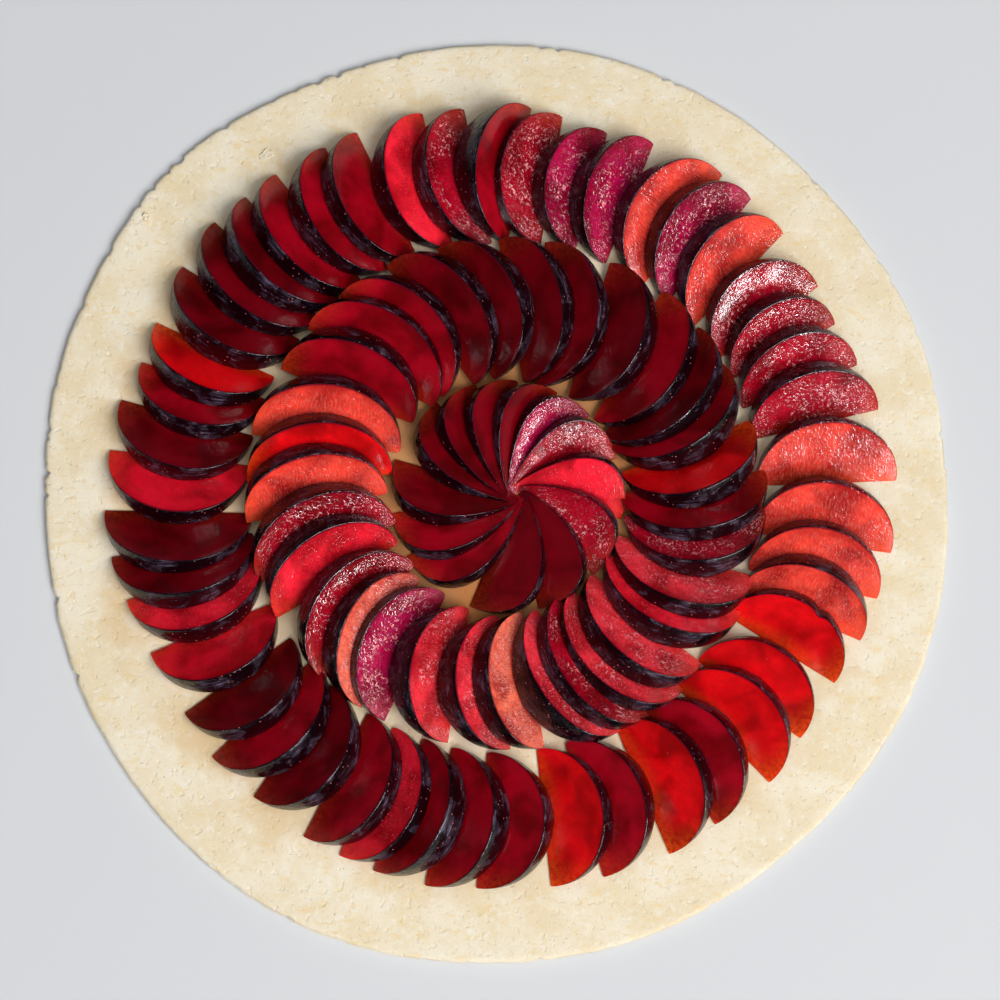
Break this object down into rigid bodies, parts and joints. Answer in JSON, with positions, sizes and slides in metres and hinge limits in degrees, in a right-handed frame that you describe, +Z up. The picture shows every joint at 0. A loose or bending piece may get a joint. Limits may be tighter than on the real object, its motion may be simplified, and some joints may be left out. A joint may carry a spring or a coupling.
{
  "type": "plum galette",
  "caption": "Flat round of raw dough with overlapping plum slices laid in two rings and a centre rosette, before the rim is folded.",
  "frame": {"origin": "middle of the galette's underside, at the bottom centre of its bounding box", "axes": "+Z up out of the fruit; the galette lies flat in XY, with +Y away from the near side and +X to the right"},
  "size_m": [0.3352, 0.3428, 0.0245],
  "materials": {
    "raw_dough": "matt, floury raw shortcrust dough",
    "cut_plum": "wet, glossy cut fruit with dark skin"
  },
  "bodies": {
    "root": {"dough_disc": "raw_dough", "slice_middle_01_02": "cut_plum", "slice_middle_03_04": "cut_plum", "slice_middle_05_06": "cut_plum", "slice_middle_07_08": "cut_plum", "slice_middle_09_10": "cut_plum", "slice_middle_11_12": "cut_plum", "slice_middle_13_14": "cut_plum", "slice_middle_15_16": "cut_plum", "slice_middle_17": "cut_plum", "slice_middle_18": "cut_plum", "slice_middle_19": "cut_plum", "slice_middle_20": "cut_plum", "slice_middle_21": "cut_plum", "slice_middle_22": "cut_plum", "slice_middle_23": "cut_plum", "slice_middle_24": "cut_plum", "slice_middle_25": "cut_plum", "slice_middle_26": "cut_plum", "slice_middle_27": "cut_plum", "slice_middle_28": "cut_plum", "slice_middle_29": "cut_plum", "slice_middle_30": "cut_plum", "slice_middle_31": "cut_plum", "slice_outer_01_02": "cut_plum", "slice_outer_03_04": "cut_plum", "slice_outer_05_06": "cut_plum", "slice_outer_07_08": "cut_plum", "slice_outer_09_10": "cut_plum", "slice_outer_11_12": "cut_plum", "slice_outer_13_14": "cut_plum", "slice_outer_15_16": "cut_plum", "slice_outer_17_18": "cut_plum", "slice_outer_19_20": "cut_plum", "slice_outer_21_22": "cut_plum", "slice_outer_23_24": "cut_plum", "slice_outer_25_26": "cut_plum", "slice_outer_27_28": "cut_plum", "slice_outer_29_30": "cut_plum", "slice_outer_31_32": "cut_plum", "slice_outer_33_34": "cut_plum", "slice_outer_35_36": "cut_plum", "slice_outer_37_38": "cut_plum", "slice_outer_39_40": "cut_plum", "slice_outer_41_42": "cut_plum", "slice_outer_43_44": "cut_plum", "slice_outer_45_46": "cut_plum", "slice_rosette_01": "cut_plum", "slice_rosette_02": "cut_plum", "slice_rosette_03": "cut_plum", "slice_rosette_04": "cut_plum", "slice_rosette_05": "cut_plum", "slice_rosette_06": "cut_plum", "slice_rosette_07": "cut_plum", "slice_rosette_08": "cut_plum", "slice_rosette_09": "cut_plum", "slice_rosette_10": "cut_plum", "slice_rosette_11": "cut_plum", "slice_rosette_12": "cut_plum", "slice_rosette_13": "cut_plum"}
  },
  "joints": []
}
